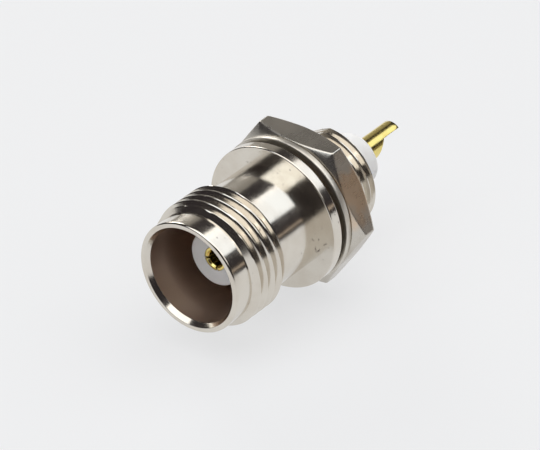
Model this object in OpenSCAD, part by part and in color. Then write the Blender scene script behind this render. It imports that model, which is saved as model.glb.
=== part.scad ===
// Panel mount coaxial jack with a threaded coupling, solder cup and panel nut.
// The origin is the centre of the flange's rear face, which seats on the panel.
// The axis runs along Y: the mating mouth faces -Y and the solder cup faces +Y.

/* [Mouth and coupling thread] */
// Distance from the mouth's edge to the flange's front face
front_len = 11.04; // [10.4:0.02:14]
// Outer diameter of the plain nose in front of the thread
nose_d = 9.92; // [9.4:0.02:10]
// Length of the plain nose
nose_len = 1.95; // [1:0.05:2.2]
// Bore of the mouth that takes the plug's outer contact
mouth_bore_d = 8.16; // [7.8:0.02:8.4]
// Width of the bevel at the mouth's edge, measured on the radius
mouth_bevel = 0.28; // [0.1:0.02:0.4]
// Length of that bevel along the axis
mouth_bevel_len = 0.42; // [0.1:0.02:0.6]
// Extra radius of the bore where its guiding taper starts behind the bevel
mouth_taper = 0.16; // [0.04:0.02:0.2]
// Distance from the mouth's edge to the inner end of the guiding taper
mouth_taper_end = 2; // [1:0.1:3]
// Depth of the mouth from its edge to the reference plane
mouth_depth = 8.4; // [7.5:0.05:9]
// Outer diameter of the coupling thread
coupling_d = 11.1; // [10.6:0.05:12]
// Distance from the mouth's edge to the end of the coupling thread
coupling_end = 5.8; // [5:0.05:7.5]
// Length of the bevel that leads on to the coupling thread
coupling_lead = 0.35; // [0.2:0.05:0.9]
// Size of the bevel at the rear end of the coupling thread
coupling_tail = 0.15; // [0.05:0.05:0.3]

/* [Neck and flange] */
// Diameter of the smooth neck behind the coupling thread
neck_d = 9.6; // [9.3:0.05:10.2]
// Radius of the fillet where the neck meets the flange
neck_fillet = 0.1; // [0.1:0.05:0.5]
// Outer diameter of the flange
flange_d = 12.9; // [12:0.1:15]
// Thickness of the flange
flange_t = 1; // [0.8:0.05:2]
// Bevel on the flange's two edges
flange_bevel = 0.1; // [0.05:0.05:0.2]

/* [Panel bushing] */
// Outer diameter of the bushing thread
bushing_d = 9.52; // [9.4:0.02:9.8]
// Length of the bushing behind the flange
bushing_len = 7.2; // [6:0.02:10]
// Bevel at the bushing's rear end
bushing_bevel = 0.3; // [0.1:0.05:0.4]
// Diameter of the relief groove behind the flange
relief_d = 8.1; // [7.8:0.05:8.15]
// Width of the relief groove
relief_len = 0.55; // [0.3:0.05:0.8]
// Distance from the axis to the flat along the bushing
flat_offset = 4.1; // [4.09:0.01:4.3]
// Direction that the flat faces, from +X towards +Z in degrees
flat_angle = 121; // [0:1:359]
// Bore at the rear that takes the insulator's collar
rear_bore_d = 6.4; // [6:0.05:6.8]
// Wall of the shell between the mouth and the collar's bore
web_t = 1.6; // [1:0.1:2]
// Length of the lip that is rolled in over the collar
lip_len = 0.3; // [0.2:0.05:0.5]
// How far the rolled lip reaches in over the collar
lip_reach = 0.3; // [0.1:0.05:0.4]

/* [Insulator] */
// Diameter of the insulator's front post and tail
insulator_d = 4.84; // [4.6:0.02:5]
// Distance from the mouth's edge to the insulator's front face
insulator_setback = 3.45; // [3:0.05:4.5]
// Length of the tail behind the bushing
tail_len = 3.26; // [2:0.02:5]
// Bevel on the insulator's ends
insulator_bevel = 0.1; // [0.05:0.05:0.2]

/* [Centre contact] */
// Outer diameter of the socket and of the solder cup
contact_d = 2.1; // [1.9:0.05:2.3]
// Bore of the socket
socket_bore_d = 1.36; // [1.3:0.02:1.5]
// Depth of the socket
socket_depth = 4.6; // [4:0.1:6]
// Width of the lead-in bevel at the socket's mouth
socket_bevel = 0.15; // [0.05:0.05:0.2]
// Width of the four slots that let the socket spring
slot_w = 0.2; // [0.15:0.01:0.22]
// Length of the slots
slot_len = 3.4; // [2:0.1:3.9]
// Direction of the first slot, from +X towards +Z in degrees
slot_angle = 12; // [0:1:89]
// Height of the barb that holds the contact in the insulator
barb_height = 0.25; // [0.15:0.05:0.4]
// Length of the barb
barb_len = 0.8; // [0.5:0.05:1.2]
// Distance from the reference plane to the front of the barb
barb_setback = 4; // [2:0.1:7]
// Length of the solder cup behind the insulator's tail
cup_len = 5.2; // [4.2:0.1:8]
// Bore of the solder cup
cup_bore_d = 1.5; // [1.3:0.05:1.6]
// Depth of the solder cup's bore
cup_depth = 6.4; // [6:0.1:8]
// Length of the scoop at the level of the axis
scoop_len = 2.1; // [1.5:0.05:2.5]
// How much longer the scoop is at the cup's open side
scoop_slope = 1.1; // [0.1:0.05:1.4]
// Wall left beyond half of the cup along the scoop
scoop_lip = 0.06; // [0:0.02:0.2]
// Direction that the scoop faces, from +X towards +Z in degrees
scoop_angle = 318; // [0:1:359]

/* [Lock washer] */
// Outer diameter of the washer
washer_d = 13.06; // [12.4:0.02:14]
// Thickness of the washer's rim
washer_t = 0.56; // [0.4:0.02:0.8]
// Gap between the flange and the washer's rim, where the panel goes
panel_gap = 0.58; // [0.4:0.02:3]
// Width of the washer's solid rim, measured on the radius
washer_rim_w = 0.83; // [0.6:0.01:1]
// Number of inward teeth
tooth_count = 12; // [8:1:14]
// Width of a tooth along the rim
tooth_w = 1.5; // [1.2:0.05:1.7]
// Thickness of a tooth
tooth_t = 0.34; // [0.25:0.02:0.4]
// Twist of a tooth about its own radius in degrees
tooth_twist = 16; // [8:1:18]
// Length of a tooth's root inside the rim
tooth_root = 0.15; // [0.1:0.05:0.3]
// Clearance between the tooth tips and the bushing thread
tooth_clear = 0.14; // [0.1:0.02:0.2]

/* [Hex nut] */
// Size across the nut's flats
nut_af = 13; // [12.5:0.1:16]
// Thickness of the nut
nut_t = 2.35; // [2:0.05:3]
// Angle of the bevel on the nut's corners in degrees
nut_bevel_angle = 30; // [20:1:35]
// Width of flat left inside the bevel, measured on the radius from the flats
nut_face_inset = 0.05; // [0.02:0.01:0.3]
// Bevel at both ends of the nut's thread
nut_bore_bevel = 0.3; // [0.1:0.05:0.4]
// Clearance between the nut's thread and the bushing's
nut_clear = 0.05; // [0.03:0.01:0.1]
// Direction of one of the nut's corners, from +X towards +Z in degrees
nut_angle = 358; // [0:1:359]
// Clearance between the washer's teeth and the nut's face
nut_gap = 0.02; // [0.01:0.01:0.1]

/* [Fits] */
// Clearance on the radius between pieces that are pressed together
press_clear = 0.01; // [0.005:0.005:0.03]

/* [Hidden] */
$fn = 96;
cut = 1;

flange_front = -flange_t;
mouth_edge = flange_front - front_len;
reference_plane = mouth_edge + mouth_depth;
coupling_start = mouth_edge + nose_len;
coupling_rear = mouth_edge + coupling_end;
collar_front = reference_plane + web_t;
collar_rear = bushing_len - lip_len;
post_hole_r = insulator_d / 2 + press_clear;
lip_r = rear_bore_d / 2 - lip_reach;
insulator_front = mouth_edge + insulator_setback;
insulator_rear = bushing_len + tail_len;
barb_front = reference_plane + barb_setback;
cup_tip = insulator_rear + cup_len;
scoop_axis = cup_tip - scoop_len;
washer_mid = panel_gap + washer_t / 2;
washer_rim_r = washer_d / 2 - washer_rim_w;
tooth_half = (tooth_w * sin(tooth_twist) + tooth_t * cos(tooth_twist)) / 2;
washer_rear = washer_mid + max(washer_t / 2, tooth_half);
nut_front = washer_rear + nut_gap;
nut_rear = nut_front + nut_t;
nut_corner_r = nut_af / sqrt(3);
nut_face_r = nut_af / 2 - nut_face_inset;

// Turns a profile of [radius, distance along Y] about the Y axis
module turned() {
    rotate([-90, 0, 0])
        rotate_extrude()
            children();
}

// Turns its children about the Y axis, from +X towards +Z
module facing(angle) {
    rotate([0, -angle, 0])
        children();
}

module shell_outline() {
    nose_r = nose_d / 2;
    coupling_r = coupling_d / 2;
    neck_r = neck_d / 2;
    flange_r = flange_d / 2;
    bushing_r = bushing_d / 2;
    relief_r = relief_d / 2;
    polygon([
        [0, mouth_edge],
        [nose_r, mouth_edge],
        [nose_r, coupling_start],
        [coupling_r, coupling_start + coupling_lead],
        [coupling_r, coupling_rear - coupling_tail],
        [coupling_r - coupling_tail, coupling_rear],
        [neck_r, coupling_rear],
        [neck_r, flange_front],
        [flange_r - flange_bevel, flange_front],
        [flange_r, flange_front + flange_bevel],
        [flange_r, -flange_bevel],
        [flange_r - flange_bevel, 0],
        [relief_r, 0],
        [relief_r, relief_len],
        [bushing_r, relief_len + bushing_r - relief_r],
        [bushing_r, bushing_len - bushing_bevel],
        [bushing_r - bushing_bevel, bushing_len],
        [0, bushing_len],
    ]);
}

// Fills the corner between the neck and the flange with a round
module neck_round() {
    translate([neck_d / 2, flange_front - neck_fillet])
        difference() {
            translate([-neck_fillet, 0])
                square(2 * neck_fillet);
            translate([neck_fillet, 0])
                circle(neck_fillet);
            translate([neck_fillet, 0])
                square(neck_fillet);
        }
}

module shell_bore() {
    mouth_r = mouth_bore_d / 2;
    collar_r = rear_bore_d / 2;
    polygon([
        [0, mouth_edge - cut],
        [mouth_r + mouth_taper + mouth_bevel, mouth_edge - cut],
        [mouth_r + mouth_taper + mouth_bevel, mouth_edge],
        [mouth_r + mouth_taper, mouth_edge + mouth_bevel_len],
        [mouth_r, mouth_edge + mouth_taper_end],
        [mouth_r, reference_plane],
        [post_hole_r, reference_plane],
        [post_hole_r, collar_front],
        [collar_r, collar_front],
        [collar_r, collar_rear],
        [lip_r, collar_rear],
        [lip_r, bushing_len + cut],
        [0, bushing_len + cut],
    ]);
}

// The flat that keys the bushing in a D-shaped panel hole
module bushing_flat() {
    facing(flat_angle)
        translate([flat_offset, relief_len / 2, -bushing_d])
            cube([bushing_d, bushing_len, 2 * bushing_d]);
}

module shell() {
    color("#b7b3a9")
        difference() {
            turned()
                difference() {
                    union() {
                        shell_outline();
                        neck_round();
                    }
                    shell_bore();
                }
            bushing_flat();
        }
}

module insulator() {
    post_r = insulator_d / 2;
    collar_r = rear_bore_d / 2 - press_clear;
    color("#eceae4")
        turned()
            difference() {
                polygon([
                    [0, insulator_front],
                    [post_r - insulator_bevel, insulator_front],
                    [post_r, insulator_front + insulator_bevel],
                    [post_r, collar_front],
                    [collar_r, collar_front],
                    [collar_r, collar_rear],
                    [post_r, collar_rear],
                    [post_r, insulator_rear - insulator_bevel],
                    [post_r - insulator_bevel, insulator_rear],
                    [0, insulator_rear],
                ]);
                contact_outline(press_clear, cut);
            }
}

// The contact's turned outline, grown by a clearance and lengthened at both ends
module contact_outline(clear, extra) {
    body_r = contact_d / 2 + clear;
    barb_r = body_r + barb_height;
    polygon([
        [0, insulator_front - extra],
        [body_r, insulator_front - extra],
        [body_r, barb_front],
        [barb_r, barb_front],
        [body_r, barb_front + barb_len],
        [body_r, cup_tip + extra],
        [0, cup_tip + extra],
    ]);
}

module socket_bore() {
    bore_r = socket_bore_d / 2;
    polygon([
        [0, insulator_front - cut],
        [bore_r + socket_bevel, insulator_front - cut],
        [bore_r + socket_bevel, insulator_front],
        [bore_r, insulator_front + socket_bevel],
        [bore_r, insulator_front + socket_depth],
        [0, insulator_front + socket_depth + bore_r],
    ]);
}

module cup_bore() {
    bore_r = cup_bore_d / 2;
    polygon([
        [0, cup_tip - cup_depth - bore_r],
        [bore_r, cup_tip - cup_depth],
        [bore_r, cup_tip + cut],
        [0, cup_tip + cut],
    ]);
}

// Two crossed saw cuts that part the socket into four springs
module socket_slots() {
    for (turn = [0, 90])
        facing(slot_angle + turn)
            translate([-contact_d, insulator_front - cut, -slot_w / 2])
                cube([2 * contact_d, slot_len + cut, slot_w]);
}

// The sloped cut that opens the solder cup to one side
module scoop() {
    facing(scoop_angle)
        linear_extrude(2 * contact_d, center = true)
            polygon([
                [scoop_lip, scoop_axis],
                [contact_d, scoop_axis - 2 * scoop_slope],
                [contact_d, cup_tip + cut],
                [scoop_lip, cup_tip + cut],
            ]);
}

module centre_contact() {
    color("#d4b13f")
        difference() {
            turned()
                difference() {
                    contact_outline(0, 0);
                    socket_bore();
                    cup_bore();
                }
            socket_slots();
            scoop();
        }
}

// One twisted tooth, from inside the rim to the middle of the hole
module washer_tooth() {
    rotate([tooth_twist, 0, 0])
        translate([0, -tooth_t / 2, -tooth_w / 2])
            cube([washer_rim_r + tooth_root, tooth_t, tooth_w]);
}

module lock_washer() {
    color("#a9a498")
        translate([0, washer_mid, 0])
            difference() {
                union() {
                    turned()
                        translate([washer_rim_r, -washer_t / 2])
                            square([washer_rim_w, washer_t]);
                    for (i = [0 : tooth_count - 1])
                        facing(i * 360 / tooth_count)
                            washer_tooth();
                }
                rotate([-90, 0, 0])
                    cylinder(r = bushing_d / 2 + tooth_clear, h = 4 * washer_t, center = true);
            }
}

module nut_outline() {
    rim_r = nut_corner_r + cut;
    bevel_len = (rim_r - nut_face_r) * tan(nut_bevel_angle);
    polygon([
        [0, nut_front],
        [nut_face_r, nut_front],
        [rim_r, nut_front + bevel_len],
        [rim_r, nut_rear - bevel_len],
        [nut_face_r, nut_rear],
        [0, nut_rear],
    ]);
}

module nut_bore() {
    bore_r = bushing_d / 2 + nut_clear;
    polygon([
        [0, nut_front - cut],
        [bore_r + nut_bore_bevel + cut, nut_front - cut],
        [bore_r, nut_front + nut_bore_bevel],
        [bore_r, nut_rear - nut_bore_bevel],
        [bore_r + nut_bore_bevel + cut, nut_rear + cut],
        [0, nut_rear + cut],
    ]);
}

module hex_nut() {
    color("#958f80")
        difference() {
            intersection() {
                facing(nut_angle)
                    translate([0, nut_front, 0])
                        rotate([-90, 0, 0])
                            cylinder(r = nut_corner_r, h = nut_t, $fn = 6);
                turned()
                    nut_outline();
            }
            turned()
                nut_bore();
        }
}

shell();
insulator();
centre_contact();
lock_washer();
hex_nut();
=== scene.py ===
# %% [markdown]
# # A threaded coaxial panel jack
# The object is a small connector that is turned from brass bar, plated with
# bright nickel and bolted through a panel. A plug screws on to its front, and
# a wire is soldered into the gold cup at its rear. The solids of its CAD
# model come first, as a frame that is never moved: every piece below is built
# in the same place and rides on one of the frame's bodies.

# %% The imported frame
import math

import bmesh
import bpy
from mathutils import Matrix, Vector


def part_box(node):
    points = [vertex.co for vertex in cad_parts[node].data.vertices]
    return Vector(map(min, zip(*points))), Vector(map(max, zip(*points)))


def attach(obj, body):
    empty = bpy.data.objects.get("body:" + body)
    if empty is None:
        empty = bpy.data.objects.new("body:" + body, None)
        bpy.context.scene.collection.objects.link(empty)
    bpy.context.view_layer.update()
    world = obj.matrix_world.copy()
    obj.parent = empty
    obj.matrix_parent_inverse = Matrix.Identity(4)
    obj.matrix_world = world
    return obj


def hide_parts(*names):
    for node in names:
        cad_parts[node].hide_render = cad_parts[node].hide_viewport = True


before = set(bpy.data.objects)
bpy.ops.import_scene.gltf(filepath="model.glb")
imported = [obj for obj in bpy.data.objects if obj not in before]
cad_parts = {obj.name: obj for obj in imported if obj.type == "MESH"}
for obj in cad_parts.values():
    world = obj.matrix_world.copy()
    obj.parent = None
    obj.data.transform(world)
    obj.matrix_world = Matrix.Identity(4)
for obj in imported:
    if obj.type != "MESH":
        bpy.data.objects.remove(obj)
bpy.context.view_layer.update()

# %% [markdown]
# ## Camera first
# The picture looks down on the mouth from the right. A long lens at about
# 0.3 m gives the slight taper that the real view has. The camera is set from
# its azimuth and elevation, so the horizon stays level.

# %% Camera
MM = 0.001
AZIMUTH = math.radians(37.6)
ELEVATION = math.radians(33.75)
CAMERA_PLACE = Vector((154.27, -201.6, 168.39)) * MM
SENSOR_WIDTH = 36.0
FOCAL_LENGTH = 246.67
NEAREST, FARTHEST = 0.01, 20.0
scene = bpy.context.scene


def put(name, data):
    """A new object in the scene."""
    made = bpy.data.objects.new(name, data)
    scene.collection.objects.link(made)
    return made


towards_camera = Vector((
    math.sin(AZIMUTH) * math.cos(ELEVATION),
    -math.cos(AZIMUTH) * math.cos(ELEVATION),
    math.sin(ELEVATION),
))
camera_data = bpy.data.cameras.new("camera")
camera_data.sensor_width = SENSOR_WIDTH
camera_data.lens = FOCAL_LENGTH
camera_data.clip_start = NEAREST
camera_data.clip_end = FARTHEST
camera = put("camera", camera_data)
camera.location = CAMERA_PLACE
camera.rotation_mode = "QUATERNION"
camera.rotation_quaternion = (-towards_camera).to_track_quat("-Z", "Y")
scene.camera = camera
print("camera stands", round(CAMERA_PLACE.length, 4), "m from the panel seat")

# %% [markdown]
# ## A drawing board for node trees
# Both the finishes and the threads are node trees. Writing each link out is
# long, so this small helper adds a node, feeds its sockets with either a
# number or another node's output, and returns the node or its result.

# %% Wiring helper


class Wiring:
    """Adds nodes to one tree and links them."""

    def __init__(self, tree):
        self.tree = tree

    def feed(self, socket, value):
        if isinstance(value, bpy.types.NodeSocket):
            self.tree.links.new(value, socket)
        else:
            socket.default_value = value

    def supply(self, node, feeds):
        for key, value in feeds.items():
            self.feed(node.inputs[key], value)

    def add(self, kind, feeds=None, **settings):
        node = self.tree.nodes.new(kind)
        for key, value in settings.items():
            setattr(node, key, value)
        self.supply(node, feeds or {})
        return node

    def math(self, operation, *values):
        node = self.add("ShaderNodeMath", operation=operation)
        for socket, value in zip(node.inputs, values):
            self.feed(socket, value)
        return node.outputs[0]

    def span(self, value, start, end, to_start=0.0, to_end=1.0, soft=True):
        """Maps start..end to to_start..to_end, and holds it at both ends."""
        feeds = {"Value": value, "From Min": start, "From Max": end, "To Min": to_start, "To Max": to_end}
        kind = "SMOOTHSTEP" if soft else "LINEAR"
        return self.add("ShaderNodeMapRange", feeds, interpolation_type=kind).outputs["Result"]

    def noise(self, vector, scale=1.0, detail=2.0, roughness=0.5):
        feeds = {"Vector": vector, "Scale": scale, "Detail": detail, "Roughness": roughness}
        return self.add("ShaderNodeTexNoise", feeds).outputs["Fac"]

    def bump(self, height, depth, normal=None):
        """The normal of a surface whose height, from 0 to 1, stands for a depth in metres."""
        node = self.add("ShaderNodeBump", {"Strength": 1.0, "Distance": depth, "Height": height})
        if normal is not None:
            self.feed(node.inputs["Normal"], normal)
        return node.outputs[0]

    def parts(self, vector):
        return self.add("ShaderNodeSeparateXYZ", {"Vector": vector}).outputs

    def vector(self, x, y, z=0.0):
        return self.add("ShaderNodeCombineXYZ", {"X": x, "Y": y, "Z": z}).outputs[0]

    def stretched(self, *pairs):
        """A vector with each of its parts an output times a number."""
        return self.vector(*[self.math("MULTIPLY", value, times) for value, times in pairs])

    def mix(self, share, one, two):
        """A number between two numbers."""
        return self.add("ShaderNodeMix", {0: share, 2: one, 3: two}, data_type="FLOAT").outputs[0]

    def blend(self, share, one, two):
        """A colour between two colours."""
        return self.add("ShaderNodeMix", {0: share, 6: one, 7: two}, data_type="RGBA").outputs[2]


print("wiring helper ready")

# %% [markdown]
# ## Where a point lies on a turned piece
# A lathe leaves rings. So the finishes need the distance from the axis, the
# distance along it and the angle round it, which all come from the Object
# coordinates, because every piece keeps its place in its mesh.

# %% Lathe coordinates


def lathe_coordinates(w):
    """The object's own place, its radius, its distance along Y and its angle."""
    place = w.add("ShaderNodeTexCoord").outputs["Object"]
    x, along, z = w.parts(place)
    radius = w.math("SQRT", w.math("ADD", w.math("MULTIPLY", x, x), w.math("MULTIPLY", z, z)))
    angle = w.math("ARCTAN2", x, z)
    return place, radius, along, angle


def new_finish(name):
    """A material with an empty tree but for its shader, as (material, wiring, shader)."""
    finish = bpy.data.materials.new(name)
    finish.use_nodes = True
    finish.node_tree.nodes.clear()
    w = Wiring(finish.node_tree)
    shader = w.add("ShaderNodeBsdfPrincipled")
    w.add("ShaderNodeOutputMaterial", {"Surface": shader.outputs[0]})
    return finish, w, shader


print("lathe coordinates ready")

# %% [markdown]
# ## Bright nickel
# The shell is plated brass, almost a mirror. Three things keep it from being a
# perfect one: the fine rings of the turning tool, a slow ripple where the
# plating is a little thicker, and handling marks. The rings and the ripple are
# bump, the marks are tone and roughness. Plating hardly reaches into a hole or
# a groove, so the mouth's bore and the relief groove behind the flange are
# duller; their darker, warmer tone is painted shade for these recesses.
#
# A noise's scale is how many of its features fit in a metre. Its value hardly
# ever goes below 0.3 or above 0.7, so those are the usual ends of a span.

# %% Nickel finish
CLOUDS, SPECKS, PITS, RIPPLES = 420.0, 5200.0, 2300.0, 900.0
RINGS, RING_DRIFT = 16000.0, 0.6
NOISE_SPAN = (0.3, 0.7)
WARM_SPAN, SPECK_SPAN, PIT_SPAN = (0.38, 0.68), (0.55, 0.8), (0.70, 0.76)
CLOUD_DULLING, SPECK_DULLING, RING_DULLING = 0.06, 0.06, 0.04
PIT_TONE, PIT_SHARE = (0.16, 0.14, 0.12, 1.0), 0.5


def nickel(name, tone, warm_tone, polish, ring_depth, ripple_depth):
    """Plated metal as (material, wiring, shader, tone and roughness outputs, lathe coordinates)."""
    finish, w, shader = new_finish(name)
    place, radius, along, angle = lathe_coordinates(w)

    cloud = w.noise(place, CLOUDS, detail=3.0)
    colour = w.blend(w.span(cloud, *WARM_SPAN), (*tone, 1.0), (*warm_tone, 1.0))
    pit = w.span(w.noise(place, PITS), *PIT_SPAN)
    colour = w.blend(w.math("MULTIPLY", pit, PIT_SHARE), colour, PIT_TONE)

    rings = w.stretched((radius, RINGS), (along, RINGS), (angle, RING_DRIFT))
    ring_mark = w.noise(rings, detail=3.0, roughness=0.6)
    rough = w.math(
        "ADD",
        w.span(cloud, *NOISE_SPAN, polish, polish + CLOUD_DULLING),
        w.span(w.noise(place, SPECKS), *SPECK_SPAN, 0.0, SPECK_DULLING),
    )
    rough = w.math("ADD", rough, w.math("MULTIPLY", ring_mark, RING_DULLING))

    ripple = w.noise(place, RIPPLES, detail=1.0)
    normal = w.bump(ring_mark, ring_depth, w.bump(ripple, ripple_depth))
    w.supply(shader, {"Base Color": colour, "Roughness": rough, "Normal": normal, "Metallic": 1.0})
    return finish, w, shader, colour, rough, (place, radius, along, angle)


print("tool rings are about", round(1 / RINGS / MM, 4), "mm apart")

# %% Shell finish with painted shade and a duller finish in its bore and groove, and its scuffs
BORE_WITHIN, BORE_UNTIL = 4.25 * MM, -3.5 * MM
GROOVE_WITHIN, GROOVE_FROM, GROOVE_UNTIL = 4.74 * MM, 0.0, 1.2 * MM
CRISP_FADE, SOFT_FADE = 0.02 * MM, 0.1 * MM
# The dull tone is painted shade for the mouth's bore and the relief groove; the dull roughness is their
# duller plating.
RECESS_SHADE_TONE, DULL_ROUGHNESS = (0.59, 0.46, 0.375, 1.0), 0.44
FLANGE_FACE, FACE_NEAR, FACE_FAR = -1.0 * MM, 0.1 * MM, 0.3 * MM
SCUFF_TONE, SCUFF_SHARE, SCUFF_DULLING = (0.20, 0.17, 0.15, 1.0), 0.85, 0.15
# Each scuff has its x and z in mm, its lean in degrees and its length in mm.
SCUFFS = ((4.80, -1.25, 52.0, 0.52), (5.45, -0.40, 40.0, 0.44), (5.10, 1.90, 70.0, 0.18))
SCUFF_THINNESS = 3.2
SCUFF_GRAIN, SCUFF_WOBBLE = 9000.0, 0.5
SCUFF_OUTSIDE, SCUFF_INSIDE = 1.2, 0.5


def scuff(w, place, x_mm, z_mm, lean, length_mm):
    """A short rubbed mark across the axis: 1 on the mark, 0 away from it."""
    x, _, z = w.parts(place)
    wobble = w.span(w.noise(place, SCUFF_GRAIN), *NOISE_SPAN, -SCUFF_WOBBLE, SCUFF_WOBBLE)
    off_x = w.math("SUBTRACT", x, x_mm * MM)
    off_z = w.math("SUBTRACT", z, z_mm * MM)
    cos, sin = math.cos(math.radians(lean)), math.sin(math.radians(lean))
    ahead = w.math("ADD", w.math("MULTIPLY", off_x, cos), w.math("MULTIPLY", off_z, sin))
    aside = w.math("SUBTRACT", w.math("MULTIPLY", off_z, cos), w.math("MULTIPLY", off_x, sin))
    half = length_mm * MM / 2
    far = w.math("POWER", w.math("DIVIDE", ahead, half), 2.0)
    wide = w.math("POWER", w.math("DIVIDE", aside, half / SCUFF_THINNESS), 2.0)
    distance = w.math("ADD", w.math("SQRT", w.math("ADD", far, wide)), wobble)
    return w.span(distance, SCUFF_OUTSIDE, SCUFF_INSIDE)


def shell_nickel(name):
    finish, w, shader, colour, rough, coordinates = nickel(
        name, tone=(0.70, 0.66, 0.59), warm_tone=(0.66, 0.61, 0.535),
        polish=0.10, ring_depth=6e-7, ripple_depth=8e-6,
    )
    place, radius, along, _ = coordinates
    in_bore = w.math(
        "MULTIPLY",
        w.span(radius, BORE_WITHIN, BORE_WITHIN - CRISP_FADE),
        w.span(along, BORE_UNTIL, BORE_UNTIL - SOFT_FADE),
    )
    behind_flange = w.math(
        "MULTIPLY",
        w.span(along, GROOVE_FROM - CRISP_FADE, GROOVE_FROM),
        w.span(along, GROOVE_UNTIL, GROOVE_UNTIL - SOFT_FADE),
    )
    in_groove = w.math("MULTIPLY", w.span(radius, GROOVE_WITHIN, GROOVE_WITHIN - SOFT_FADE), behind_flange)
    # This mask carries the painted shade of the bore and the groove, and their higher roughness.
    dull_and_shaded = w.math("MAXIMUM", in_bore, in_groove)

    on_face = w.math(
        "MULTIPLY",
        w.span(along, FLANGE_FACE - FACE_FAR, FLANGE_FACE - FACE_NEAR),
        w.span(along, FLANGE_FACE + FACE_FAR, FLANGE_FACE + FACE_NEAR),
    )
    mark = scuff(w, place, *SCUFFS[0])
    for other in SCUFFS[1:]:
        mark = w.math("MAXIMUM", mark, scuff(w, place, *other))
    mark = w.math("MULTIPLY", on_face, mark)

    # Painted shade: the bore and the groove take the darker, warmer tone.
    colour = w.blend(dull_and_shaded, colour, RECESS_SHADE_TONE)
    colour = w.blend(w.math("MULTIPLY", mark, SCUFF_SHARE), colour, SCUFF_TONE)
    rough = w.mix(dull_and_shaded, rough, DULL_ROUGHNESS)
    rough = w.math("ADD", rough, w.math("MULTIPLY", mark, SCUFF_DULLING))
    w.supply(shader, {"Base Color": colour, "Roughness": rough})
    return finish


bright_nickel = shell_nickel("bright_nickel")
washer_nickel = nickel(
    "washer_nickel", tone=(0.68, 0.645, 0.585), warm_tone=(0.60, 0.56, 0.49),
    polish=0.34, ring_depth=1e-6, ripple_depth=8e-6,
)[0]
print("finishes:", bright_nickel.name, washer_nickel.name)

# %% [markdown]
# ## Satin nickel on the nut
# The nut is cut from drawn hexagon bar, so its flats keep faint lines along
# the axis, and its two faces have the rings of a facing tool. The plating
# over this rougher ground is duller and a little olive, with brown stains
# where it was handled. The stain on the right flat is partly a painted
# reflection: it adds the warm tone that this flat mirrors.

# %% Nut finish
# Each stain has its x, its z and its reach in mm.
# The first entry, on the right flat, is partly a painted reflection of the warm tone that flat mirrors;
# the others are stains.
STAINS_AND_REFLECTION = ((5.8, 2.8, 2.6), (-5.6, -3.4, 1.9), (0.9, -6.5, 1.6))
STAIN_AND_REFLECTION_TONE = (0.70, 0.52, 0.36, 1.0)
STAIN_FADE, STAIN_DEPTH = (5.7 * MM, 6.4 * MM), (0.12, 0.85)
STAIN_HEART, STAIN_RAGGED, RAGGED_SPAN = 0.4, 1.2 * MM, (0.2, 0.8)
TONE_SPAN = (0.35, 0.7)
NUT_CLOUDS, NUT_CLOUD_DULLING = 350.0, 0.1
DRAWN_LINES, DRAWN_DRIFT = 9000.0, 260.0
FACING_RINGS, FACING_DRIFT = 12000.0, 0.5
CUT_DEPTH, CUT_DULLING = 1.5e-6, 0.08
FACING_REACH, FACING_FADE = 0.6 * MM, 0.2 * MM


def drawn_nickel(name, tone, worn_tone, polish, face_from, face_to):
    finish, w, shader = new_finish(name)
    place, radius, along, angle = lathe_coordinates(w)
    x, _, z = w.parts(place)

    lines = w.stretched((x, DRAWN_LINES), (along, DRAWN_DRIFT), (z, DRAWN_LINES))
    drawn = w.noise(lines, detail=3.0, roughness=0.6)
    rings = w.stretched((radius, FACING_RINGS), (angle, FACING_DRIFT))
    faced = w.noise(rings, detail=3.0, roughness=0.6)
    on_face = w.math(
        "MAXIMUM",
        w.span(along, face_from, face_from - FACING_FADE),
        w.span(along, face_to, face_to + FACING_FADE),
    )
    cut_mark = w.mix(on_face, drawn, faced)

    cloud = w.noise(place, NUT_CLOUDS, detail=3.0)
    colour = w.blend(w.span(cloud, *TONE_SPAN), (*tone, 1.0), (*worn_tone, 1.0))
    ragged = w.span(cloud, *RAGGED_SPAN, -STAIN_RAGGED, STAIN_RAGGED)
    depth = w.span(radius, *STAIN_FADE, *STAIN_DEPTH)
    # Brown patches blended into the tone; the one on the right flat is partly a painted reflection.
    for stain_x, stain_z, reach in STAINS_AND_REFLECTION:
        off_x = w.math("POWER", w.math("SUBTRACT", x, stain_x * MM), 2.0)
        off_z = w.math("POWER", w.math("SUBTRACT", z, stain_z * MM), 2.0)
        distance = w.math("ADD", w.math("SQRT", w.math("ADD", off_x, off_z)), ragged)
        stain_and_reflection = w.math("MULTIPLY", depth, w.span(distance, reach * MM, STAIN_HEART * reach * MM))
        colour = w.blend(stain_and_reflection, colour, STAIN_AND_REFLECTION_TONE)

    rough = w.math(
        "ADD",
        w.span(cloud, *NOISE_SPAN, polish, polish + NUT_CLOUD_DULLING),
        w.math("MULTIPLY", cut_mark, CUT_DULLING),
    )
    normal = w.bump(cut_mark, CUT_DEPTH)
    w.supply(shader, {"Base Color": colour, "Roughness": rough, "Normal": normal, "Metallic": 1.0})
    return finish


nut_low, nut_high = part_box("hex_nut")
nut_nickel = drawn_nickel(
    "nut_nickel", tone=(0.60, 0.57, 0.515), worn_tone=(0.53, 0.49, 0.43), polish=0.20,
    face_from=nut_low.y + FACING_REACH, face_to=nut_high.y - FACING_REACH,
)
print("finish:", nut_nickel.name)

# %% [markdown]
# ## White PTFE and gold plate
# The insulator is a turned rod of PTFE: waxy, a little see-through at its
# edges, with faint tool rings. Subsurface scattering gives the waxy look. The
# contact is gold plate over brass, smooth, with small soft changes of tone.

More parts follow.
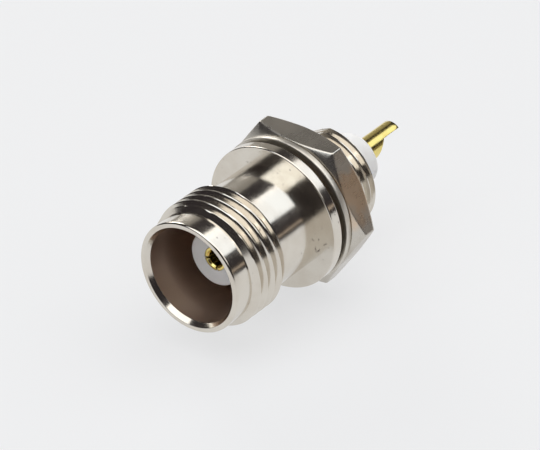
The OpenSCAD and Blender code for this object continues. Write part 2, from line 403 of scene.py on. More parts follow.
# %% Insulator and contact finishes
PTFE_TONES = ((0.96, 0.96, 0.955, 1.0), (0.92, 0.92, 0.91, 1.0))
PTFE_CLOUDS, PTFE_RINGS, PTFE_DRIFT = 500.0, 9000.0, 0.5
PTFE_ROUGHNESS, PTFE_DEPTH = (0.38, 0.52), 3e-6
GOLD_TONES = ((0.82, 0.68, 0.24, 1.0), (0.76, 0.61, 0.20, 1.0))
GOLD_CLOUDS, GOLD_RINGS, GOLD_DRIFT = 1200.0, 12000.0, 0.6
GOLD_ROUGHNESS, GOLD_DEPTH = (0.14, 0.24), 8e-7


def turned_ptfe(name):
    finish, w, shader = new_finish(name)
    place, radius, along, angle = lathe_coordinates(w)
    cloud = w.noise(place, PTFE_CLOUDS)
    ring_mark = w.noise(w.stretched((radius, PTFE_RINGS), (along, PTFE_RINGS), (angle, PTFE_DRIFT)))
    w.supply(shader, {
        "Base Color": w.blend(w.span(cloud, *TONE_SPAN), *PTFE_TONES),
        "Roughness": w.span(ring_mark, *NOISE_SPAN, *PTFE_ROUGHNESS),
        "Normal": w.bump(ring_mark, PTFE_DEPTH),
        "Subsurface Weight": 0.25,
        "Subsurface Radius": (1.0, 0.95, 0.9),
        "Subsurface Scale": 0.4 * MM,
        "IOR": 1.37,
    })
    return finish


def gold_plate(name):
    finish, w, shader = new_finish(name)
    place, radius, along, angle = lathe_coordinates(w)
    cloud = w.noise(place, GOLD_CLOUDS)
    ring_mark = w.noise(w.stretched((along, GOLD_RINGS), (radius, GOLD_RINGS), (angle, GOLD_DRIFT)))
    w.supply(shader, {
        "Base Color": w.blend(w.span(cloud, *TONE_SPAN), *GOLD_TONES),
        "Roughness": w.span(ring_mark, *NOISE_SPAN, *GOLD_ROUGHNESS),
        "Normal": w.bump(ring_mark, GOLD_DEPTH),
        "Metallic": 1.0,
    })
    return finish


white_ptfe = turned_ptfe("white_ptfe")
gold = gold_plate("gold_plate")
print("finishes:", white_ptfe.name, gold.name)

# %% [markdown]
# ## Turning on a lathe, in mesh code
# Most of the connector is a profile that is spun round the Y axis. A profile
# is a list of corners, each with the radius of its round, because a real edge
# is never quite sharp and the thin bright lines in the picture are those
# rounds. A spare ring just beside each round keeps the flats flat in the
# shading. The spin puts a ring of points at each corner and joins the rings.

# %% Lathe helpers
SEGMENTS = 180
ROUND_STEPS = 4
SPARE_RING = 0.025
WELD = 1e-7
SHARP_ANGLE = math.radians(32)


def rounded(corners):
    """Corners of (radius, along, round) in mm, as a line of points with its rounds drawn in."""
    line = [Vector(corners[0][:2])]
    for before, here, after in zip(corners, corners[1:], corners[2:]):
        corner, size = Vector(here[:2]), here[2]
        if size <= 0:
            line.append(corner)
            continue
        back = (Vector(before[:2]) - corner).normalized()
        ahead = (Vector(after[:2]) - corner).normalized()
        half = math.acos(max(-1.0, min(1.0, back.dot(ahead)))) / 2
        reach = size / math.tan(half)
        centre = corner + (back + ahead).normalized() * size / math.sin(half)
        first = corner + back * reach - centre
        last = corner + ahead * reach - centre
        line.append(corner + back * (reach + SPARE_RING))
        start = math.atan2(first.y, first.x)
        sweep = math.atan2(last.y, last.x) - start
        sweep = (sweep + math.pi) % math.tau - math.pi
        for step in range(ROUND_STEPS + 1):
            turn = start + sweep * step / ROUND_STEPS
            line.append(centre + Vector((math.cos(turn), math.sin(turn))) * size)
        line.append(corner + ahead * (reach + SPARE_RING))
    line.append(Vector(corners[-1][:2]))
    return line


def on_ring(radius, along, share):
    """A point in metres; share goes round from the top, right-handed about +Y."""
    turn = math.tau * share
    return Vector((radius * math.sin(turn), along, radius * math.cos(turn))) * MM


def skin_rings(bm, rings, closed=False):
    """Joins each ring of points to the next with faces, and the last to the first if closed."""
    pairs = list(zip(rings, rings[1:]))
    if closed:
        pairs.append((rings[-1], rings[0]))
    count = len(rings[0])
    for one, two in pairs:
        for k in range(count):
            n = (k + 1) % count
            bm.faces.new((one[k], one[n], two[n], two[k]))


def spin(bm, line, closed=False):
    shares = [k / SEGMENTS for k in range(SEGMENTS)]
    rings = [[bm.verts.new(on_ring(r, y, share)) for share in shares] for r, y in line]
    skin_rings(bm, rings, closed)


def smoothed(mesh):
    mesh.polygons.foreach_set("use_smooth", [True] * len(mesh.polygons))
    mesh.set_sharp_from_angle(angle=SHARP_ANGLE)
    return mesh


def solid(name, bm):
    """An object of a closed skin, with every face turned outwards."""
    bmesh.ops.recalc_face_normals(bm, faces=bm.faces)
    mesh = bpy.data.meshes.new(name)
    bm.to_mesh(mesh)
    bm.free()
    return put(name, mesh)


def open_edges(mesh):
    bm = bmesh.new()
    bm.from_mesh(mesh)
    count = sum(1 for edge in bm.edges if len(edge.link_faces) != 2)
    bm.free()
    return count


def piece(name, bm, finish):
    """Welds the parts of a skin into one solid, smooths it and gives it its finish."""
    bmesh.ops.remove_doubles(bm, verts=bm.verts, dist=WELD)
    bmesh.ops.dissolve_degenerate(bm, dist=WELD, edges=bm.edges)
    made = solid(name, bm)
    mesh = smoothed(made.data)
    mesh.materials.append(finish)
    print(name, "has", len(mesh.polygons), "faces and", open_edges(mesh), "open edges")
    return made


print("lathe helpers ready, rings of", SEGMENTS, "points")

# %% [markdown]
# ## Growing a mesh from a node tree
# What repeats or follows a helix is grown by Geometry Nodes. Each tree gets
# named inputs for its sizes and its finish, and ends in a plain mesh that
# wears the finish. A bench object carries the tree only while its mesh is
# taken off.

# %% Tree helpers


def new_tree(name, sizes, counts, result):
    """A tree with number, whole number and finish inputs, as (tree, wiring, its inputs by name)."""
    tree = bpy.data.node_groups.new(name, "GeometryNodeTree")
    for kind, names in (("Float", sizes), ("Int", counts), ("Material", ("Finish",))):
        for socket in names:
            tree.interface.new_socket(socket, in_out="INPUT", socket_type="NodeSocket" + kind)
    tree.interface.new_socket(result, in_out="OUTPUT", socket_type="NodeSocketGeometry")
    w = Wiring(tree)
    return tree, w, w.add("NodeGroupInput").outputs


def close_tree(w, skin, finish):
    """Ends a tree in a plain mesh with its finish."""
    skin = w.add("GeometryNodeRealizeInstances", {"Geometry": skin}).outputs[0]
    skin = w.add("GeometryNodeSetMaterial", {"Geometry": skin, "Material": finish}).outputs[0]
    w.feed(w.add("NodeGroupOutput").inputs[0], skin)


def grown(tree, **sizes):
    """The plain mesh that a tree makes with these sizes, given by the names of its inputs."""
    bench = put("bench", bpy.data.meshes.new("bench"))
    maker = bench.modifiers.new("maker", "NODES")
    maker.node_group = tree
    for item in tree.interface.items_tree:
        if item.in_out == "INPUT":
            maker[item.identifier] = sizes[item.name]
    depsgraph = bpy.context.evaluated_depsgraph_get()
    mesh = bpy.data.meshes.new_from_object(bench.evaluated_get(depsgraph))
    bench.modifiers.remove(maker)
    bpy.data.objects.remove(bench)
    return mesh


print("tree helpers ready")

# %% [markdown]
# ## A thread is a helix, so Geometry Nodes cut it
# A thread could be a profile swept along a helix, but a sweep overlaps itself
# and can't be welded to the plain shaft. Here a flat grid is rolled round the
# axis instead. Its rows are slanted by one pitch a turn, so each row runs
# along the helix and the crest stays crisp. Rows past either end are held at
# the end, which gives the ends that a bevelled thread has, and the first and
# last row close to a plain ring for the lathe work to meet. The same tree
# cuts the inside of the nut when its side is -1.
#
# The profile is the real one, two straight flanks at 60 degrees with a narrow
# flat on the crest and in the root. That matters for the look: light bounces
# from flank to flank, so each groove shines cream and only a thin dark line
# runs along each crest. The flats are a whole number of rows wide, so that
# both edges of a flat are cut alike.

# %% Thread tree
ROWS_A_PITCH = 24
SPARE_ROWS = 4.0
CREST_SHARE = 3 / ROWS_A_PITCH
ROOT_SHARE = 5 / ROWS_A_PITCH
HALF_FLANK_ANGLE = math.radians(30)
THREAD_SIZES = (
    "Start", "End", "Pitch", "Crest radius", "Depth", "Start ring", "End ring",
    "Start bevel", "End bevel", "Lead", "Tail", "Side", "Turn",
)


def thread_tree():
    tree, w, size = new_tree("helical_thread", THREAD_SIZES, ("Segments", "Rows a pitch"), "Thread")

    step = w.math("DIVIDE", size["Pitch"], size["Rows a pitch"])
    length = w.math("SUBTRACT", size["End"], size["Start"])
    rows = w.math("ADD", w.math("CEIL", w.math("DIVIDE", length, step)), size["Rows a pitch"])
    rows = w.math("ADD", rows, SPARE_ROWS)
    columns = w.math("ADD", size["Segments"], 1.0)
    grid = w.add(
        "GeometryNodeMeshGrid",
        {"Size X": 1.0, "Size Y": 1.0, "Vertices X": columns, "Vertices Y": rows},
    ).outputs["Mesh"]
    # The grid runs from -0.5 to 0.5 both ways: x goes round, y goes along.
    flat_x, flat_y, _ = w.parts(w.add("GeometryNodeInputPosition").outputs[0])
    share = w.math("ADD", flat_x, 0.5)
    last_row = w.math("SUBTRACT", rows, 1.0)
    row = w.math("MULTIPLY", w.math("ADD", flat_y, 0.5), last_row)

    first = w.math("SUBTRACT", w.math("SUBTRACT", size["Start"], size["Pitch"]), step)
    free = w.math("ADD", first, w.math("MULTIPLY", row, step))
    free = w.math("ADD", free, w.math("MULTIPLY", size["Pitch"], share))
    along = w.math("MINIMUM", w.math("MAXIMUM", free, size["Start"]), size["End"])
    from_start = w.math("SUBTRACT", along, size["Start"])
    to_end = w.math("SUBTRACT", size["End"], along)

    turns = w.math("SUBTRACT", w.math("DIVIDE", from_start, size["Pitch"]), share)
    phase = w.math("FRACT", w.math("ADD", turns, size["Turn"]))
    off_crest = w.math("ABSOLUTE", w.math("SUBTRACT", w.math("MULTIPLY", phase, 2.0), 1.0))
    flank = w.span(off_crest, CREST_SHARE, 1.0 - ROOT_SHARE, 0.0, size["Depth"], soft=False)
    radius = w.math("SUBTRACT", size["Crest radius"], flank)

    for bevel, reach, distance in (("Start bevel", "Lead", from_start), ("End bevel", "Tail", to_end)):
        slope = w.math("DIVIDE", w.math("SUBTRACT", size["Crest radius"], size[bevel]), size[reach])
        cone = w.math("ADD", size[bevel], w.math("MULTIPLY", distance, slope))
        least = w.math(
            "MINIMUM",
            w.math("MULTIPLY", radius, size["Side"]),
            w.math("MULTIPLY", cone, size["Side"]),
        )
        radius = w.math("MULTIPLY", least, size["Side"])

    is_first = w.math("LESS_THAN", row, 0.5)
    is_last = w.math("GREATER_THAN", row, w.math("SUBTRACT", last_row, 0.5))
    for is_end, ring in ((is_first, size["Start ring"]), (is_last, size["End ring"])):
        shift = w.math("MULTIPLY", is_end, w.math("SUBTRACT", ring, radius))
        radius = w.math("ADD", radius, shift)

    turn = w.math("MULTIPLY", share, math.tau)
    rolled = w.vector(
        w.math("MULTIPLY", radius, w.math("SINE", turn)),
        along,
        w.math("MULTIPLY", radius, w.math("COSINE", turn)),
    )
    skin = w.add("GeometryNodeSetPosition", {"Geometry": grid, "Position": rolled}).outputs[0]
    skin = w.add("GeometryNodeMergeByDistance", {"Geometry": skin, "Distance": WELD}).outputs[0]
    close_tree(w, skin, size["Finish"])
    return tree


helical_thread = thread_tree()
print("thread tree has", len(helical_thread.nodes), "nodes")

# %% Thread skins


def thread_depth(pitch):
    """How deep the flanks go in what the two flats leave of the pitch."""
    return (1 - CREST_SHARE - ROOT_SHARE) * pitch / 2 / math.tan(HALF_FLANK_ANGLE)


def thread_mesh(finish, pitch, turn, side=1.0, **lengths):
    """A thread's skin. Lengths are in mm, by the tree's names with _ for a space."""
    sizes = {name.replace("_", " "): value * MM for name, value in lengths.items()}
    return grown(
        helical_thread,
        Pitch=pitch * MM, Side=side, Turn=turn, Segments=SEGMENTS, Finish=finish,
        **{"Rows a pitch": ROWS_A_PITCH}, **sizes,
    )


print("a thread is", round(thread_depth(1.0), 3), "of its pitch deep")

# %% [markdown]
# ## The shell
# One turned piece: a plain nose with the mouth's bore, the coupling thread,
# a smooth neck, the flange that seats on the panel, a relief groove, and the
# long bushing thread. Two lathe bands and two thread skins weld into one
# closed skin. The bushing also has a flat along it, which keys it in a
# D-shaped panel hole. That flat is a Boolean cut, as a mill would make it,
# because it has to slice cleanly through the thread's ridges.

# %% Shell outline
shell_low, shell_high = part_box("shell")
MOUTH_EDGE = shell_low.y / MM
BUSHING_END = shell_high.y / MM
NOSE_R, MOUTH_R, MOUTH_BEVEL, MOUTH_BEVEL_LEN = 4.96, 4.08, 0.28, 0.42
MOUTH_TAPER, MOUTH_TAPER_END = 0.16, 2.0
COUPLING_START, COUPLING_END = MOUTH_EDGE + 1.95, MOUTH_EDGE + 5.8
COUPLING_R, COUPLING_PITCH = 5.55, 25.4 / 28
COUPLING_LEAD, COUPLING_TAIL = 0.35, 0.15
NECK_R, FLANGE_R, FLANGE_T = 4.80, 6.45, 1.0
RELIEF_R, RELIEF_LEN = 4.05, 0.55
BUSHING_R, BUSHING_PITCH, BUSHING_BEVEL = 4.76, 25.4 / 32, 0.3
REFERENCE_PLANE = MOUTH_EDGE + 8.4
POST_HOLE_R, COLLAR_R, LIP_R = 2.43, 3.20, 2.90
COLLAR_FRONT, COLLAR_REAR = REFERENCE_PLANE + 1.6, BUSHING_END - 0.3
COUPLING_TURN, BUSHING_TURN = 7.0 / ROWS_A_PITCH, 13.5 / ROWS_A_PITCH
COUPLING_FOOT_R, BUSHING_FOOT_R = 4.95, 4.25
NOSE_ROUND, MOUTH_ROUND, TAPER_ROUND, SEAT_ROUND, HOLE_ROUND = 0.17, 0.05, 0.5, 0.06, 0.04
LIP_ROUND, NECK_ROUND, FLANGE_ROUND, RELIEF_ROUND = 0.10, 0.05, 0.10, 0.06

nose_and_bores = rounded([
    (NOSE_R, COUPLING_START, 0),
    (NOSE_R, MOUTH_EDGE, NOSE_ROUND),
    (MOUTH_R + MOUTH_TAPER + MOUTH_BEVEL, MOUTH_EDGE, MOUTH_ROUND),
    (MOUTH_R + MOUTH_TAPER, MOUTH_EDGE + MOUTH_BEVEL_LEN, MOUTH_ROUND),
    (MOUTH_R, MOUTH_EDGE + MOUTH_TAPER_END, TAPER_ROUND),
    (MOUTH_R, REFERENCE_PLANE, SEAT_ROUND),
    (POST_HOLE_R, REFERENCE_PLANE, HOLE_ROUND),
    (POST_HOLE_R, COLLAR_FRONT, 0),
    (COLLAR_R, COLLAR_FRONT, 0),
    (COLLAR_R, COLLAR_REAR, 0),
    (LIP_R, COLLAR_REAR, HOLE_ROUND),
    (LIP_R, BUSHING_END, LIP_ROUND),
    (BUSHING_FOOT_R, BUSHING_END, 0),
])
neck_and_flange = rounded([
    (COUPLING_FOOT_R, COUPLING_END, 0),
    (NECK_R, COUPLING_END, NECK_ROUND),
    (NECK_R, -FLANGE_T, 0),
    (FLANGE_R, -FLANGE_T, FLANGE_ROUND),
    (FLANGE_R, 0, FLANGE_ROUND),
    (RELIEF_R, 0, RELIEF_ROUND),
    (RELIEF_R, RELIEF_LEN, 0),
])
print("shell runs from", round(MOUTH_EDGE, 2), "to", round(BUSHING_END, 2), "mm")

# %% Shell skin
coupling_skin = thread_mesh(
    bright_nickel, COUPLING_PITCH, COUPLING_TURN,
    Start=COUPLING_START, End=COUPLING_END, Crest_radius=COUPLING_R, Depth=thread_depth(COUPLING_PITCH),
    Start_ring=NOSE_R, Start_bevel=NOSE_R, Lead=COUPLING_LEAD,
    End_ring=COUPLING_FOOT_R, End_bevel=COUPLING_R - COUPLING_TAIL, Tail=COUPLING_TAIL,
)
bushing_skin = thread_mesh(
    bright_nickel, BUSHING_PITCH, BUSHING_TURN,
    Start=RELIEF_LEN, End=BUSHING_END, Crest_radius=BUSHING_R, Depth=thread_depth(BUSHING_PITCH),
    Start_ring=RELIEF_R, Start_bevel=RELIEF_R, Lead=BUSHING_R - RELIEF_R,
    End_ring=BUSHING_FOOT_R, End_bevel=BUSHING_R - BUSHING_BEVEL, Tail=BUSHING_BEVEL,
)
shell_bm = bmesh.new()
shell_bm.from_mesh(coupling_skin)
shell_bm.from_mesh(bushing_skin)
spin(shell_bm, nose_and_bores)
spin(shell_bm, neck_and_flange)
shell = piece("shell_turned", shell_bm, bright_nickel)

# %% [markdown]
# A cut is made with a block that is there only for the cut. The block and the
# modifiers are gone before the piece is fitted to its body. Where the new
# edges are rounded, a weld first takes up the specks of faces that the cut
# leaves at its corners.

# %% Cutting helper
BLOCK_PAST = 1.0
CUT_WELD = 4e-6
CUT_ROUND_STEPS, CUT_ROUND_ANGLE = 2, math.radians(40)


def oblong(out_from, out_to, along_from, along_to):
    """A rectangle's corners, for a block."""
    return [(out_from, along_from), (out_to, along_from), (out_to, along_to), (out_from, along_to)]


def block(name, corners, depth, facing):
    """A prism for cutting: corners of (outwards, along) in mm, depth across, turned to face an angle."""
    bm = bmesh.new()
    turn = math.radians(facing)
    ends = []
    for across in (-depth / 2, depth / 2):
        ends.append([
            bm.verts.new(Vector((
                out * math.cos(turn) - across * math.sin(turn),
                along,
                out * math.sin(turn) + across * math.cos(turn),
            )) * MM)
            for out, along in corners
        ])
    bm.faces.new(ends[0])
    bm.faces.new(ends[1])
    skin_rings(bm, ends)
    return solid(name, bm)


def modify(target, kind, **settings):
    added = target.modifiers.new(kind.lower(), kind)
    for key, value in settings.items():
        setattr(added, key, value)


def milled(target, blocks, edge_round=0.0):
    """Cuts the blocks out of a piece and rounds the new edges, in its own mesh."""
    for cutter in blocks:
        modify(target, "BOOLEAN", operation="DIFFERENCE", solver="EXACT", object=cutter)
    if edge_round:
        modify(target, "WELD", merge_threshold=CUT_WELD)
        modify(
            target, "BEVEL", width=edge_round * MM, segments=CUT_ROUND_STEPS,
            limit_method="ANGLE", angle_limit=CUT_ROUND_ANGLE,
        )
        modify(target, "WEIGHTED_NORMAL", keep_sharp=True)
    depsgraph = bpy.context.evaluated_depsgraph_get()
    mesh = bpy.data.meshes.new_from_object(target.evaluated_get(depsgraph))
    target.modifiers.clear()
    target.data = smoothed(mesh)
    for cutter in blocks:
        bpy.data.objects.remove(cutter)
    print(target.name, "now has", len(mesh.polygons), "faces and", open_edges(mesh), "open edges")


print("cutting helper ready")

# %% Flat along the bushing
FLAT_OFFSET, FLAT_ANGLE = 4.1, 121
FLAT_FROM, FLAT_BLOCK_W = RELIEF_LEN / 2, 3 * BUSHING_R
flat_block = block(
    "flat_block",
    oblong(FLAT_OFFSET, BUSHING_R + BLOCK_PAST, FLAT_FROM, BUSHING_END + BLOCK_PAST),
    FLAT_BLOCK_W, FLAT_ANGLE,
)
milled(shell, [flat_block])
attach(shell, "connector")
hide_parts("shell")

# %% [markdown]
# ## The insulator
# One rod of PTFE: its front face shows in the mouth round the socket, and its
# tail shows behind the bushing. The wider collar in the middle is held in the
# shell by the rolled lip. It is a closed lathe outline, with the groove that
# the contact's barb has pressed into its bore.

# %% Insulator
insulator_low, insulator_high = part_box("insulator")
ROD_FRONT, ROD_REAR = insulator_low.y / MM, insulator_high.y / MM
ROD_R, ROD_BORE_R, COLLAR_ROD_R = 2.42, 1.06, 3.19
ROD_FRONT_ROUND, ROD_REAR_ROUND, ROD_BORE_ROUND = 0.12, 0.14, 0.03
ROD_OUTLINE_START = ROD_FRONT + 0.5
BARB_FRONT, BARB_LEN, BARB_HEIGHT = REFERENCE_PLANE + 4, 0.8, 0.25

rod_outline = rounded([
    (ROD_BORE_R, ROD_OUTLINE_START, 0),
    (ROD_BORE_R, ROD_FRONT, ROD_BORE_ROUND),
    (ROD_R, ROD_FRONT, ROD_FRONT_ROUND),
    (ROD_R, COLLAR_FRONT, 0),
    (COLLAR_ROD_R, COLLAR_FRONT, 0),
    (COLLAR_ROD_R, COLLAR_REAR, 0),
    (ROD_R, COLLAR_REAR, 0),
    (ROD_R, ROD_REAR, ROD_REAR_ROUND),
    (ROD_BORE_R, ROD_REAR, ROD_BORE_ROUND),
    (ROD_BORE_R, BARB_FRONT + BARB_LEN, 0),
    (ROD_BORE_R + BARB_HEIGHT, BARB_FRONT, 0),
    (ROD_BORE_R, BARB_FRONT, 0),
])
rod_bm = bmesh.new()
spin(rod_bm, rod_outline, closed=True)
insulator = piece("insulator_rod", rod_bm, white_ptfe)
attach(insulator, "connector")
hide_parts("insulator")

# %% [markdown]
# ## The centre contact
# A gold-plated pin that is drilled from both ends. At the front it is a
# socket, and two crossed saw cuts let its four fingers spring on the plug's
# pin. At the rear it is a solder cup, opened to one side by a sloped scoop
# cut, so that solder and wire go in easily. Lathe first, then the cuts.

# %% Contact outline
CUP_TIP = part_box("centre_contact")[1].y / MM
CONTACT_R, SOCKET_R, CUP_R = 1.05, 0.68, 0.75
SOCKET_BOTTOM, CUP_BOTTOM = ROD_FRONT + 4.6, CUP_TIP - 6.4
SOCKET_BEVEL, SOCKET_ROUND, SOCKET_BEVEL_ROUND = 0.15, 0.06, 0.03
CUP_RINGS = 14


def cup_wall(radius, start, end):
    """Corners along a straight wall of the cup, close enough for the cuts to leave small faces."""
    return [(radius, start + (end - start) * k / CUP_RINGS, 0) for k in range(CUP_RINGS + 1)]


contact_outline = rounded([
    (0, SOCKET_BOTTOM + SOCKET_R, 0),
    (SOCKET_R, SOCKET_BOTTOM, 0),
    (SOCKET_R, ROD_FRONT + SOCKET_BEVEL, SOCKET_ROUND),
    (SOCKET_R + SOCKET_BEVEL, ROD_FRONT, SOCKET_BEVEL_ROUND),
    (CONTACT_R, ROD_FRONT, SOCKET_ROUND),
    (CONTACT_R, BARB_FRONT, 0),
    (CONTACT_R + BARB_HEIGHT, BARB_FRONT, 0),
    (CONTACT_R, BARB_FRONT + BARB_LEN, 0),
    *cup_wall(CONTACT_R, ROD_REAR, CUP_TIP),
    *cup_wall(CUP_R, CUP_TIP, CUP_BOTTOM),
    (0, CUP_BOTTOM - CUP_R, 0),
])
contact_bm = bmesh.new()
spin(contact_bm, contact_outline)
contact = piece("contact_gold", contact_bm, gold)

# %% Contact cuts
SLOT_W, SLOT_LEN, SLOT_ANGLES = 0.20, 3.4, (12, 102)
SCOOP_LIP, SCOOP_ANGLE = 0.06, 318
SCOOP_START, SCOOP_RUN = CUP_TIP - 2.1, 2.2
CUT_REACH = 2 * CONTACT_R
CUT_ROUND = 0.015

slot_sides = oblong(-CUT_REACH, CUT_REACH, ROD_FRONT - BLOCK_PAST, ROD_FRONT + SLOT_LEN)
slot_blocks = [block(f"slot_block_{angle}", slot_sides, SLOT_W, angle) for angle in SLOT_ANGLES]
scoop_block = block(
    "scoop_block",
    [(SCOOP_LIP, SCOOP_START), (CUT_REACH, SCOOP_START - SCOOP_RUN),
     (CUT_REACH, CUP_TIP + BLOCK_PAST), (SCOOP_LIP, CUP_TIP + BLOCK_PAST)],
    2 * CUT_REACH, SCOOP_ANGLE,
)
milled(contact, [*slot_blocks, scoop_block], edge_round=CUT_ROUND)
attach(contact, "connector")
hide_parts("centre_contact")

# %% [markdown]
# ## The lock washer
# A thin stamped ring with teeth on its inside, each twisted a little, so that
# they bite into the nut and the panel. The teeth repeat, so Geometry Nodes
# set them out: the rim is a rounded strip swept round a circle, and one tooth,
# twisted more and more towards its tip, is placed on the ring as many times
# as there are teeth.

# %% Washer tree
WASHER_SIZES = (
    "Outer radius", "Rim width", "Thickness", "Edge round", "Hole radius",
    "Tooth width", "Tooth thickness", "Tooth root", "Twist", "Middle",
)


def washer_tree():
    tree, w, size = new_tree("toothed_ring", WASHER_SIZES, ("Teeth", "Segments"), "Washer")

    inner = w.math("SUBTRACT", size["Outer radius"], size["Rim width"])
    middle_line = w.math("SUBTRACT", size["Outer radius"], w.math("DIVIDE", size["Rim width"], 2.0))
    circle = w.add(
        "GeometryNodeCurvePrimitiveCircle",
        {"Resolution": size["Segments"], "Radius": middle_line},
    ).outputs[0]
    strip = w.add(
        "GeometryNodeCurvePrimitiveQuadrilateral",
        {"Width": size["Rim width"], "Height": size["Thickness"]},
    ).outputs[0]
    strip = w.add(
        "GeometryNodeFilletCurve",
        {"Curve": strip, "Radius": size["Edge round"], "Count": 3},
        mode="POLY",
    ).outputs[0]
    rim = w.add("GeometryNodeCurveToMesh", {"Curve": circle, "Profile Curve": strip}).outputs[0]

    length = w.math("ADD", w.math("SUBTRACT", inner, size["Hole radius"]), size["Tooth root"])
    plate = w.add(
        "GeometryNodeMeshCube",
        {"Size": w.vector(length, size["Tooth width"], size["Tooth thickness"]),
         "Vertices X": 9, "Vertices Y": 4, "Vertices Z": 3},
    ).outputs["Mesh"]
    centre = w.math("ADD", size["Hole radius"], w.math("DIVIDE", length, 2.0))
    x, y, z = w.parts(w.add("GeometryNodeInputPosition").outputs[0])
    out = w.math("ADD", x, centre)
    bent = w.math("MULTIPLY", size["Twist"], w.span(out, inner, size["Hole radius"]))
    twisted = w.add(
        "ShaderNodeVectorRotate",
        {"Vector": w.vector(out, y, z), "Angle": bent},
        rotation_type="X_AXIS",
    ).outputs[0]
    tooth = w.add("GeometryNodeSetPosition", {"Geometry": plate, "Position": twisted}).outputs[0]
    number = w.add("GeometryNodeInputIndex").outputs[0]
    turn = w.math("DIVIDE", w.math("MULTIPLY", number, math.tau), size["Teeth"])
    teeth = w.add(
        "GeometryNodeInstanceOnPoints",
        {"Points": w.add("GeometryNodePoints", {"Count": size["Teeth"]}).outputs[0],
         "Instance": tooth, "Rotation": w.vector(0.0, 0.0, turn)},
    ).outputs[0]

    both = w.add("GeometryNodeJoinGeometry")
    w.feed(both.inputs[0], rim)
    w.feed(both.inputs[0], teeth)
    set_down = w.add(
        "GeometryNodeTransform",
        {"Geometry": both.outputs[0], "Translation": w.vector(0.0, size["Middle"], 0.0),
         "Rotation": (-math.pi / 2, 0.0, 0.0)},
    ).outputs[0]
    close_tree(w, set_down, size["Finish"])
    return tree


toothed_ring = washer_tree()
print("washer tree has", len(toothed_ring.nodes), "nodes")

# %% Washer
washer_low, washer_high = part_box("lock_washer")
RIM_WIDTH, RIM_THICKNESS, RIM_ROUND = 0.83 * MM, 0.56 * MM, 0.08 * MM
WASHER_HOLE_R = (BUSHING_R + 0.14) * MM
TEETH, TOOTH_TWIST = 12, math.radians(16)
TOOTH_WIDTH, TOOTH_THICKNESS, TOOTH_ROOT = 1.5 * MM, 0.34 * MM, 0.15 * MM
washer_mesh = grown(
    toothed_ring,
    **{
        "Outer radius": washer_high.x, "Hole radius": WASHER_HOLE_R,
        "Rim width": RIM_WIDTH, "Thickness": RIM_THICKNESS, "Edge round": RIM_ROUND,
        "Tooth width": TOOTH_WIDTH, "Tooth thickness": TOOTH_THICKNESS, "Tooth root": TOOTH_ROOT,
        "Twist": TOOTH_TWIST, "Middle": (washer_low.y + washer_high.y) / 2,
        "Teeth": TEETH, "Segments": SEGMENTS, "Finish": washer_nickel,
    },
)
washer_bm = bmesh.new()
washer_bm.from_mesh(washer_mesh)
washer = piece("washer_toothed", washer_bm, washer_nickel)
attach(washer, "washer")
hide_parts("lock_washer")

# %% [markdown]
# ## The hex nut
# A hexagon whose corners are bevelled by a cone on both faces. Where the cone
# meets a flat it leaves the curved edge that every nut has. Mesh code draws it
# as rings: at each angle the hexagon gives the radius, the cone gives how far
# from the face the flat begins, and a few more rings round that edge. The
# points crowd towards the corners, because the rounds there are small. The
# thread tree lines the hole, in step with the bushing's own thread.

# %% Nut rings
NUT_FRONT, NUT_REAR = nut_low.y / MM, nut_high.y / MM
NUT_AF, NUT_CORNER_ROUND, NUT_EDGE_ROUND = 13.0, 0.16, 0.10
NUT_FACE_R, NUT_BEVEL = 6.45, math.radians(30)
NUT_ANGLE = 358
NUT_CORNER_SHARE = (90 - NUT_ANGLE) / 360 % 1
NUT_CROWDING = 0.85
BEVEL_ROOM = 0.45
EDGE_PULL, FACE_PULL = 0.45, 0.6


def hexagon_radius(off_flat):
    """The rounded hexagon's radius at an angle from the middle of a flat."""
    half = NUT_AF / 2
    off = abs(off_flat)
    if off <= math.atan((half - NUT_CORNER_ROUND) * math.tan(math.pi / 6) / half):
        return half / math.cos(off)
    to_centre = (half - NUT_CORNER_ROUND) / math.cos(math.pi / 6)
    off_corner = math.pi / 6 - off
    return to_centre * math.cos(off_corner) + math.sqrt(
        NUT_CORNER_ROUND ** 2 - (to_centre * math.sin(off_corner)) ** 2
    )


def nut_share(k):
    """How far round the nut and along its flat the k-th point is, crowded towards the corners."""
    side = SEGMENTS // 6
    flat, step = divmod(k, side)
    t = step / side
    t -= NUT_CROWDING * math.sin(math.tau * t) / math.tau
    return (flat + t) / 6, t


def cut_corner(before, corner, after, pull):
    """A point inside a corner, drawn towards the corner by pull and to its neighbours by the rest."""
    return corner * pull + (before + after) * ((1 - pull) / 2)


def nut_line(t):
    """The nut's outline at one angle, from the front face's edge to the middle of its thickness."""
    radius = hexagon_radius((t - 0.5) * math.pi / 3)
    cone = Vector((math.cos(NUT_BEVEL), math.sin(NUT_BEVEL)))
    face = Vector((NUT_FACE_R, 0))
    edge = Vector((radius, (radius - NUT_FACE_R) * math.tan(NUT_BEVEL)))
    room = min(NUT_EDGE_ROUND, (edge - face).length * BEVEL_ROOM)
    inside, outside = face - Vector((room, 0)), face + cone * room
    below, above = edge - cone * room, edge + Vector((0, room))
    return [
        inside, cut_corner(inside, face, outside, FACE_PULL), outside,
        below, cut_corner(below, edge, above, EDGE_PULL), above,
        above + Vector((0, NUT_EDGE_ROUND)),
    ]


nut_bm = bmesh.new()
thickness = NUT_REAR - NUT_FRONT
columns = []
for k in range(SEGMENTS):
    share, t = nut_share(k)
    half_line = nut_line(t)
    other_half = [Vector((r, thickness - y)) for r, y in reversed(half_line)]
    columns.append([
        nut_bm.verts.new(on_ring(r, NUT_FRONT + y, NUT_CORNER_SHARE + share))
        for r, y in half_line + other_half
    ])
skin_rings(nut_bm, [list(ring) for ring in zip(*columns)])
print("nut has", len(columns[0]), "rings")

